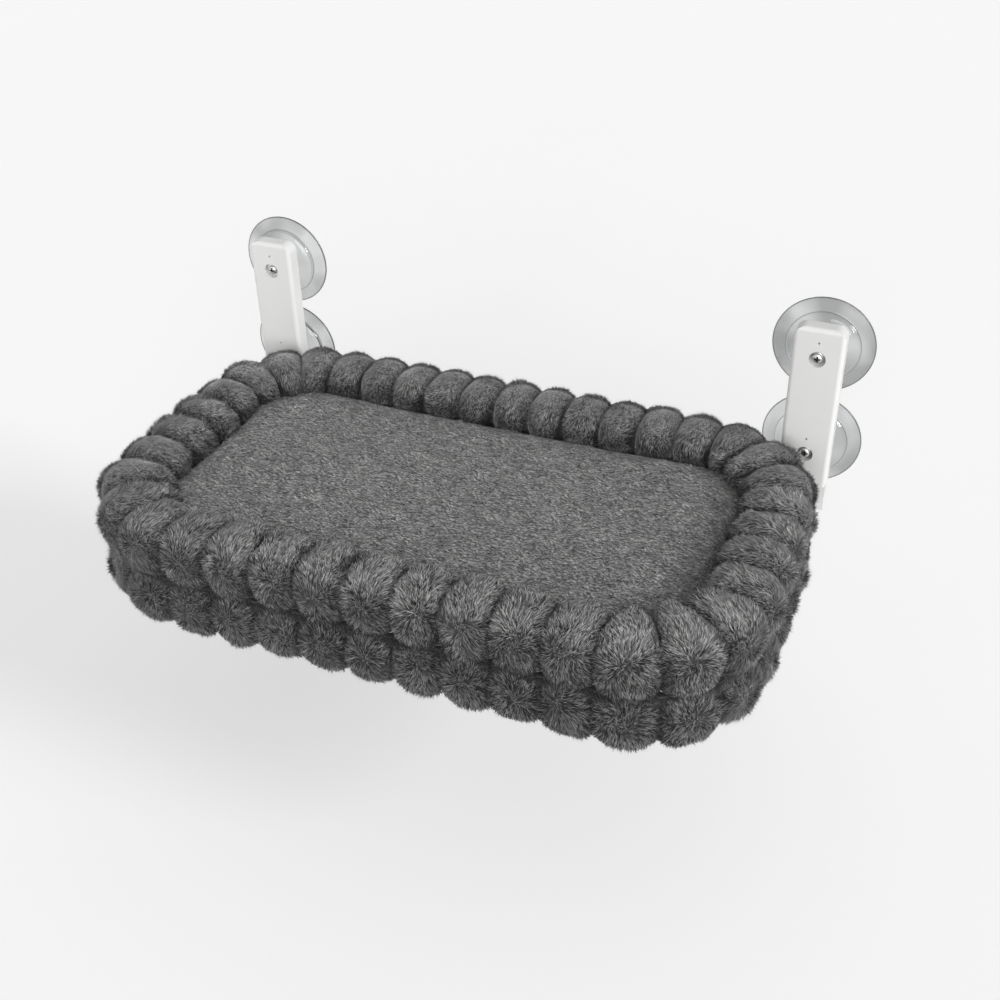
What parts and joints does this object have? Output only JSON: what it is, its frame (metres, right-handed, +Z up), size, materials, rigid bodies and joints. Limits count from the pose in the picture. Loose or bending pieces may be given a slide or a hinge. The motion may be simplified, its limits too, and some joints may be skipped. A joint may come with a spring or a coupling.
{
  "type": "window mounted cat perch",
  "caption": "Pet bed for a window: a plush bed with a rolled rim rests on two folding arms, hinged to upright bars held to the glass by suction cups.",
  "frame": {"origin": "on the window's glass, at the middle of the four suction cups", "axes": "+X along the window, to the right seen from the room; +Y into the glass; +Z up"},
  "size_m": [0.574, 0.345, 0.2],
  "materials": {
    "bar_plastic": "satin",
    "clear_pvc": "gloss",
    "plated_steel": "satin",
    "insert_brass": "satin",
    "arm_plastic": "satin",
    "hook_tape": "matte",
    "loop_tape": "matte",
    "lining_cloth": "matte",
    "board_wood": "matte",
    "bed_foam": "matte",
    "roll_plush": "matte",
    "mat_plush": "matte"
  },
  "bodies": {
    "window_mount": {"left_bar": "bar_plastic", "right_bar": "bar_plastic", "left_upper_cup": "clear_pvc", "left_lower_cup": "clear_pvc", "right_upper_cup": "clear_pvc", "right_lower_cup": "clear_pvc", "cup_screws": "plated_steel", "cup_washers": "plated_steel", "cup_inserts": "insert_brass", "left_hinge_pin": "plated_steel", "right_hinge_pin": "plated_steel", "hinge_washers": "plated_steel"},
    "left_folding_arm": {"left_arm": "arm_plastic", "left_hook_strip": "hook_tape"},
    "right_folding_arm": {"right_arm": "arm_plastic", "right_hook_strip": "hook_tape"},
    "bed": {"loop_strips": "loop_tape", "bottom_cover": "lining_cloth", "base_board": "board_wood", "foam_core": "bed_foam", "lower_roll": "roll_plush", "upper_roll": "roll_plush", "sleeping_mat": "mat_plush"}
  },
  "joints": [
    {"name": "bed_lift", "type": "slide", "parent": "window_mount", "child": "bed", "axis": [0, 0, 1], "range_m": [0, 0.408]},
    {"name": "left_arm_fold", "type": "hinge", "parent": "window_mount", "child": "left_folding_arm", "pos_m": [-0.246, -0.02125, -0.092], "axis": [-1, 0, 0], "range_deg": [0, 90]},
    {"name": "right_arm_fold", "type": "hinge", "parent": "window_mount", "child": "right_folding_arm", "pos_m": [0.246, -0.02125, -0.092], "axis": [-1, 0, 0], "range_deg": [0, 90]}
  ],
  "couplings": [
    {"joint": "left_arm_fold", "follows": "bed_lift", "rad_per_m": 3.848},
    {"joint": "right_arm_fold", "follows": "bed_lift", "rad_per_m": 3.848}
  ]
}
